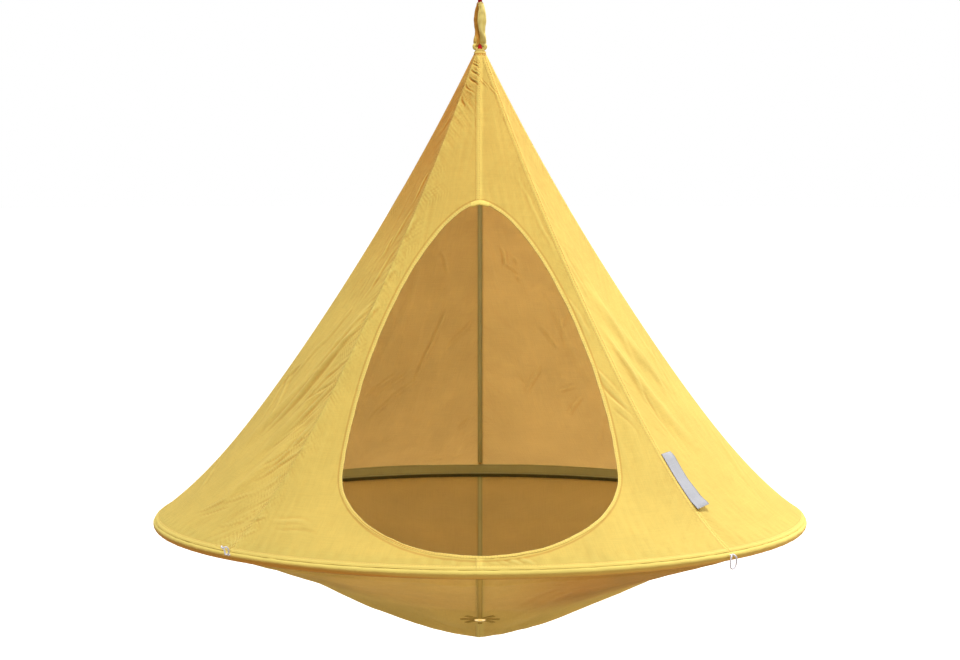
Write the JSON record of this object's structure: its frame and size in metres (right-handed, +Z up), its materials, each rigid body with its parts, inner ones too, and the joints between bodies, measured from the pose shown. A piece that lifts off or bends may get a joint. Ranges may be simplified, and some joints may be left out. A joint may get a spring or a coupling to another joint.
{
  "type": "cocoon hammock",
  "caption": "Hanging cocoon hammock: a canvas cone on a pole ring, with an egg-shaped door and a cloth bowl as its seat, hung by a short webbing sling.",
  "frame": {"origin": "the bearing point at the inner top of the sling's upper eye, which the hammock hangs from", "axes": "+Z up along the line it hangs on, -Y out of the door, +X to the right seen from in front"},
  "size_m": [1.4984, 1.4971, 1.5463],
  "materials": {
    "canvas": "yellow canvas, plain weave, lets light through",
    "door_binding": "folded canvas tape with two rows of stitches",
    "sling_sleeve_cloth": "yellow canvas tube, creased",
    "seam_tape": "olive woven tape",
    "rim_band": "olive woven band",
    "olive_webbing": "olive woven webbing",
    "red_webbing": "dark red woven webbing",
    "cord": "pale braided cord",
    "label": "blank grey woven label",
    "brass": "plain brass eyelet",
    "pole": "drawn aluminium tube"
  },
  "bodies": {
    "hanger": {"sling_eye": "red_webbing"},
    "sling": {"sling_sleeve": "sling_sleeve_cloth", "sling_webbing": "red_webbing"},
    "crown": {"crown_loop": "red_webbing"},
    "hammock": {"cord_loop_left": "cord", "cord_loop_right": "cord", "crown_root_back": "red_webbing", "crown_root_front": "red_webbing", "door_binding": "door_binding", "eyelet_barrel": "brass", "eyelet_washer": "brass", "floor_left": "canvas", "floor_right": "canvas", "floor_seam_tape_back": "seam_tape", "floor_seam_tape_front": "seam_tape", "floor_star": "olive_webbing", "floor_strap": "olive_webbing", "gore_back_left": "canvas", "gore_back_right": "canvas", "gore_back_side_left": "canvas", "gore_back_side_right": "canvas", "gore_front_left": "canvas", "gore_front_right": "canvas", "gore_front_side_left": "canvas", "gore_front_side_right": "canvas", "label": "label", "pole_spigot_1": "pole", "pole_spigot_2": "pole", "pole_spigot_3": "pole", "pole_spigot_4": "pole", "pole_spigot_5": "pole", "pole_spigot_6": "pole", "pole_spigot_7": "pole", "pole_spigot_8": "pole", "rim_band": "rim_band", "ring_pole_1": "pole", "ring_pole_2": "pole", "ring_pole_3": "pole", "ring_pole_4": "pole", "ring_pole_5": "pole", "ring_pole_6": "pole", "ring_pole_7": "pole", "ring_pole_8": "pole", "ring_sleeve": "canvas", "seam_tape_0": "seam_tape", "seam_tape_135": "seam_tape", "seam_tape_180": "seam_tape", "seam_tape_225": "seam_tape", "seam_tape_270": "seam_tape", "seam_tape_315": "seam_tape", "seam_tape_45": "seam_tape", "seam_tape_90": "seam_tape"}
  },
  "joints": [
    {"name": "spin", "type": "hinge", "parent": "hanger", "child": "sling", "pos_m": [0, 0, -0.0235], "axis": [0, 0, 1], "range_deg": [-180, 180], "stiffness_Nm_per_rad": 1},
    {"name": "swing", "type": "hinge", "parent": "sling", "child": "crown", "pos_m": [0, 0, -0.1295], "axis": [1, 0, 0], "range_deg": [-25, 25]},
    {"name": "sway", "type": "hinge", "parent": "crown", "child": "hammock", "pos_m": [0, 0, -0.1395], "axis": [0, 1, 0], "range_deg": [-20, 20]}
  ]
}
